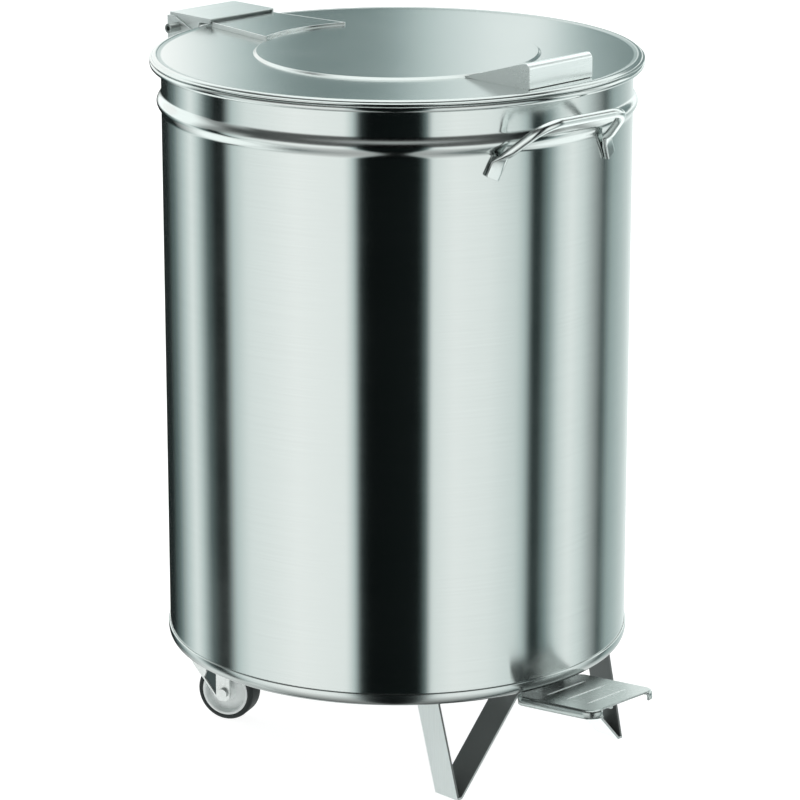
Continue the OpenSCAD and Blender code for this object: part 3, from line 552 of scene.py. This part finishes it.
def make_tread():
    """A tray turned upside down, open at the middle of its front and back."""
    fold = 2.6
    levels = [(fold * (1 - math.sin(a)), TREAD_TOP - fold * (1 - math.cos(a)))
              for a in (math.radians(d) for d in (0, 18, 36, 54, 72, 90))]
    levels.append((0, TREAD_TOP - TREAD_SKIRT))
    bm = bmesh.new()
    rings = [[bm.verts.new((x, y, z)) for x, y in rounded_outline(inset)] for inset, z in levels]
    count = len(rings[0])
    bm.faces.new(rings[0])
    open_half = TREAD_HALF - 13
    for low, high in zip(rings, rings[1:]):
        for i in range(count):
            j = (i + 1) % count
            middle = (low[i].co + low[j].co) / 2
            if abs(middle.x) < open_half and low is not rings[0]:
                continue
            bm.faces.new((low[i], low[j], high[j], high[i]))
    tread = piece("pedal_tread_sheet", bm, "pedal", TREAD_STEEL, ["pedal_tread"], ON_LEVER,
                  sharp=50)
    solid = tread.modifiers.new("sheet", "SOLIDIFY")
    solid.thickness = TREAD_SHEET * MM
    solid.offset = -1
    for i, back in enumerate((21, 43, 65)):
        make_tread_rib(i, back)


def make_tread_rib(number, back, half=24, wide=1.3, tall=0.45):
    """A pressed grip line across the tread, running out into the sheet at both ends, in a lighter steel for a
    painted highlight.
    """
    steps, turns = 12, [2 * math.pi * i / 16 for i in range(16)]
    sections = []
    for step in range(steps + 1):
        t = 2 * step / steps - 1
        size = max(1 - t ** 6, 0.03)
        middle = Vector((half * t, -TREAD_FRONT + back, TREAD_TOP - 0.1))
        sections.append([middle + Vector((0, wide * math.cos(a), tall * math.sin(a))) * size for a in turns])
    piece(f"tread_rib_{number}", skin(sections), "pedal", PAINTED_HIGHLIGHT_STEEL, (), ON_LEVER, sharp=80)


# ---------------------------------------------------------------- castors

def wheel_place(side):
    """Where a wheel is and how it is turned, from its CAD tyre."""
    low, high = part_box("tyre_" + side)
    middle = TO_ROW.inverted() @ ((low + high) / 2)
    return Matrix.Translation(middle) @ CASTOR_TURN @ Matrix.Rotation(math.radians(90), 4, "Y")


def make_wheels():
    """Outlines of (radius, place along the axle), turned for a tyre and a dished hub."""
    half, wheel_r, rim_r, shoulder = 9.65, 25, 20.6, 3
    flank = arc(wheel_r - shoulder, half - 3.1, shoulder, 8, 90, 8) + [(rim_r + 0.02, half - 0.3)]
    crown = [(wheel_r - 0.05, -3), (wheel_r, 0), (wheel_r - 0.05, 3)]
    tyre = [(r, -z) for r, z in flank[::-1]] + crown + flank
    dish = [(4.05, 10.7), (7.2, 10.7), (7.9, 10.0), (8.3, 6.5), (9.5, 5.2), (14.5, 4.4), (16.6, 5.2),
            (17.6, 8.6), (18.1, 9.4), (18.8, half), (20.2, half), (rim_r, 9.2)]
    hub = dish + [(r, -z) for r, z in dish[::-1]]
    for side in ("left", "right"):
        body, place = "wheel_" + side, wheel_place(side)
        piece("tyre_rubber_" + side, lathe(tyre, 128), body, TYRE_RUBBER, ["tyre_" + side], place)
        piece("hub_moulding_" + side, lathe(hub, 96), body, HUB_PLASTIC, ["hub_" + side], place,
              sharp=50)


def make_painted_recess_shades():
    """A near-black sheet on the floor of the pressed recess in each fork cheek: a painted shade."""
    outline = [(13.1, 23.4), (13.1, 70.9), (4.7, 70.9), (4.7, 42), (3.8, 38.9), (2.8, 37.1)]
    low, top = 11.85, 12.0
    for side, x in (("left", -CASTOR_X), ("right", CASTOR_X)):
        place = Matrix.Translation((x, CASTOR_Y, 0)) @ CASTOR_TURN
        for cheek, face in (("inner", -1), ("outer", 1)):
            floor = skin([[Vector((face * level, y, z)) for y, z in outline] for level in (low, top)])
            name = f"fork_recess_{side}_{cheek}"
            piece(name, floor, "swivel_" + side, RECESS_PAINTED_SHADE, (), place)


# ---------------------------------------------------------------- the CAD nodes that keep their meshes

def dress_nodes():
    for name in ("inner_bucket", "bucket_bail"):
        dress(name, GALVANISED)
    dress("bail_grip", RUBBER)
    dress("lid_strap", SHEET_X, 0.5)
    dress("lid_handle", HOOD_PAINTED_LIGHT_STEEL, 0.6)
    dress("hinge_channel", SATIN_PAINTED_LIGHT_X, 0.6)
    dress("hinge_bracket", SATIN_PAINTED_LIGHT_Z, 0.5)
    for name in ("foot_left", "foot_right"):
        dress(name, STRAP_STEEL, 0.35)
    dress("pedal_lever", SHEET_Y, 0.5)
    dress("pedal_bracket", SATIN_PAINTED_LIGHT_Z, 0.4)
    dress("rod_guide", SATIN_PAINTED_LIGHT_X, 0.3)
    dress("push_rod", ROD_STEEL)
    for side in ("left", "right"):
        dress("fork_" + side, ZINC, 0.4)
        dress("castor_plate_" + side, ZINC, 0.3)
        dress("ball_race_" + side, ZINC)
        for name in ("kingpin_", "axle_", "axle_nut_", "wheel_bush_"):
            dress(name + side, ZINC)
    for name in ("hinge_bushes", "lever_bush", "guide_bush"):
        dress(name, NYLON)
    for name in ("bracket_rivets", "guide_rivets", "foot_rivets", "pedal_rivets", "hinge_nut",
                 "pivot_pin", "pivot_clips", "castor_screws", "drive_pin", "drive_clips",
                 "rod_head", "rod_foot", "rod_locknuts", "link_pin", "link_clips"):
        dress(name, FASTENER)
    dress("hinge_pin", DARK_CAP, 0.3)


# ---------------------------------------------------------------- studio

SOFT_BOX = (1.30, 1.37, 1.35, 1)

# Brightness of the studio round the bin, by angle from the camera in degrees: soft boxes and dark flags
ROUND_STUDIO = [
    (-180, 0.01), (-152, 0.02), (-140, 0.20), (-127, 0.80), (-120, 1.08), (-114, 0.80), (-106, 0.15),
    (-99, 0.01), (-93, 0.02), (-87, 0.78), (-78, 1.05), (-50, 1.22), (-25, 1.16), (-21, 0.75), (-18, 0.03),
    (-14, 0.006), (11, 0.010), (14, 0.20), (17, 1.05), (28, 1.18), (45, 1.12), (60, 0.95), (65, 0.70),
    (69, 0.05), (73, 0.03), (79, 0.36), (86, 0.92), (94, 1.12), (103, 0.92), (121, 0.08), (130, 0.48),
    (165, 0.95),
]

# Soft boxes at both sides, below and above the band that the wall mirrors: their levels at left and right,
# and the heights between which they fade in and out, from 0 straight down to 1 straight up
SIDE_BOXES = [(0.8, 0.5, (0.05, 0.10, 0.19, 0.24)), (0.25, 1, (0.53, 0.57, 0.72, 0.80))]

# Brightness across the tall panel that the lid mirrors, by place in millimetres from left to right
LID_PANEL_HALF = 190
LID_PANEL = [
    (-190, 1.25), (-160, 1.02), (-140, 0.80), (-120, 0.60), (-100, 0.39), (-80, 0.27), (-60, 0.26),
    (-20, 0.30), (0, 0.41), (20, 0.62), (40, 0.78), (60, 0.88), (80, 0.98), (110, 1.02), (125, 0.90),
    (140, 0.66), (160, 0.42), (190, 0.30),
]


def studio_colour(level):
    """A soft light of that level: full light is nearly neutral, half light is cool."""
    cool = 0.32 * (1 - min(level / 1.3, 1))
    return (level * (1 - cool), level, level * 0.985, 1)


def around_stops(levels):
    """Ramp stops for (angle, colour) pairs, where -180 to 180 degrees is 0 to 1."""
    return [((angle + 180) / 360, colour) for angle, colour in levels]


def make_world():
    """The studio as light from every direction. The camera itself sees plain white."""
    world = bpy.data.worlds.new("studio")
    scene.world = world
    world.use_nodes = True
    tree = Tree(world.node_tree)
    tree.nodes.clear()
    direction = tree.coordinates("Generated")
    away = tree.dot(direction, AWAY)
    angle = tree.math("ARCTAN2", tree.dot(direction, RIGHT), tree.multiply(away, -1.0))
    turn = tree.math("ADD", tree.math("DIVIDE", angle, 2 * math.pi), 0.5)
    around = tree.ramp(turn, around_stops((a, studio_colour(level)) for a, level in ROUND_STUDIO))
    height = tree.math("ADD", tree.multiply(tree.split(direction)[2], 0.5), 0.5)
    faded = tree.ramp(height, [(0.0, grey(0.45)), (0.15, grey(0.7)), (0.32, grey(1)), (0.48, grey(1)),
                               (0.60, grey(0.48)), (0.70, grey(0.12)), (1.0, grey(0.06))])
    colour = tree.mix(1.0, around, faded, blend="MULTIPLY")
    for left, right, heights in SIDE_BOXES:
        levels = [(-106, 0), (-100, left), (-82, left), (-76, 0), (76, 0), (82, right), (98, right), (104, 0)]
        sides = tree.ramp(turn, around_stops((a, grey(level)) for a, level in levels))
        band = tree.ramp(height, [(h, grey(level)) for h, level in zip(heights, (0, 1, 1, 0))])
        colour = tree.mix(tree.multiply(sides, band), colour, SOFT_BOX)
    sky = tree.ramp(height, [(0.43, grey(0)), (0.49, grey(1))])
    overhead = tree.ramp(height, [(0.89, grey(0)), (0.94, grey(1))])
    sky = tree.math("MAXIMUM", tree.multiply(tree.spread(away, 0.0, 1.0, 0.15, 0.45), sky), overhead)
    ground = tree.ramp(height, [(0.0, grey(1)), (0.20, grey(1)), (0.30, grey(0))])
    ground = tree.multiply(tree.spread(away, 0.0, 1.0, 0.08, 0.22), ground)
    colour = tree.mix(tree.math("MAXIMUM", sky, ground), colour, SOFT_BOX)
    lit = tree.add("ShaderNodeBackground", {"Color": colour, "Strength": 1.0}).outputs[0]
    seen = tree.add("ShaderNodeBackground", {"Color": grey(1), "Strength": 1.0}).outputs[0]
    camera_ray = tree.add("ShaderNodeLightPath").outputs["Is Camera Ray"]
    final = tree.add("ShaderNodeMixShader", {0: camera_ray, 1: lit, 2: seen}).outputs[0]
    tree.add("ShaderNodeOutputWorld", {"Surface": final})


def stage_object(name, mesh):
    """A part of the studio with a material of its own, and the empty node tree of that material."""
    obj = bpy.data.objects.new(name, mesh)
    scene.collection.objects.link(obj)
    material, tree, _ = new_material(name)
    tree.nodes.clear()
    mesh.materials.append(material)
    return obj, tree


def make_lid_panel():
    """A graded panel behind the bin. The camera never sees it: the lid mirrors it."""
    distance, reach, low, high = 0.9, 1.2, 0.62, 1.12
    stretch = (CAMERA_DISTANCE + distance) / CAMERA_DISTANCE
    graded = LID_PANEL_HALF * MM * stretch
    middle = AXIS + AWAY * distance
    corners = [middle + RIGHT * side + Vector((0, 0, z)) for z in (low, high) for side in (-reach, reach)]
    mesh = bpy.data.meshes.new("lid_panel")
    mesh.from_pydata(corners, [], [(0, 1, 3, 2)])
    obj, tree = stage_object("lid_panel", mesh)
    coords = tree.coordinates("Object")
    offset = tree.add("ShaderNodeVectorMath", {0: coords, 1: AXIS}, operation="SUBTRACT").outputs[0]
    across = tree.spread(tree.dot(offset, RIGHT), 0.0, 1.0, -graded, graded)
    stops = [((x / LID_PANEL_HALF + 1) / 2, studio_colour(level)) for x, level in LID_PANEL]
    light = tree.add("ShaderNodeEmission", {"Color": tree.ramp(across, stops), "Strength": 1.0}).outputs[0]
    tree.add("ShaderNodeOutputMaterial", {"Surface": light})
    obj.visible_camera = False
    obj.visible_diffuse = False


def make_floor():
    """A wide floor that glows nearly white and takes a soft shadow. Mirror rays pass through it."""
    mesh = bpy.data.meshes.new("floor")
    bm = bmesh.new()
    bmesh.ops.create_circle(bm, cap_ends=True, radius=40, segments=96)
    bm.to_mesh(mesh)
    bm.free()
    obj, tree = stage_object("floor", mesh)
    obj.location = (0, 0, -0.0002)
    plain = tree.add("ShaderNodeBsdfDiffuse", {"Color": grey(0.35)}).outputs[0]
    glow = tree.add("ShaderNodeEmission", {"Color": grey(1), "Strength": 0.93}).outputs[0]
    both = tree.add("ShaderNodeAddShader", {0: plain, 1: glow}).outputs[0]
    tree.add("ShaderNodeOutputMaterial", {"Surface": both})
    obj.visible_glossy = False


def make_camera():
    data = bpy.data.cameras.new("camera")
    data.sensor_width = 36
    data.lens = CAMERA_LENS
    data.shift_x = CAMERA_SHIFT
    data.clip_end = 100
    camera = bpy.data.objects.new("camera", data)
    scene.collection.objects.link(camera)
    back = math.cos(CAMERA_ELEVATION) * CAMERA_DISTANCE
    height = CAMERA_TARGET_Z + math.sin(CAMERA_ELEVATION) * CAMERA_DISTANCE
    camera.location = AXIS - AWAY * back + Vector((0, 0, height))
    camera.rotation_euler = (math.pi / 2 - CAMERA_ELEVATION, 0, CAMERA_AZIMUTH)
    scene.camera = camera


make_drum()
make_base()
make_lid()
make_carry_handle()
make_tread()
make_wheels()
make_painted_recess_shades()
make_strap_edge_highlights()
dress_nodes()
make_world()
make_lid_panel()
make_floor()
make_camera()
scene.view_settings.view_transform = "Standard"
scene.view_settings.look = "None"
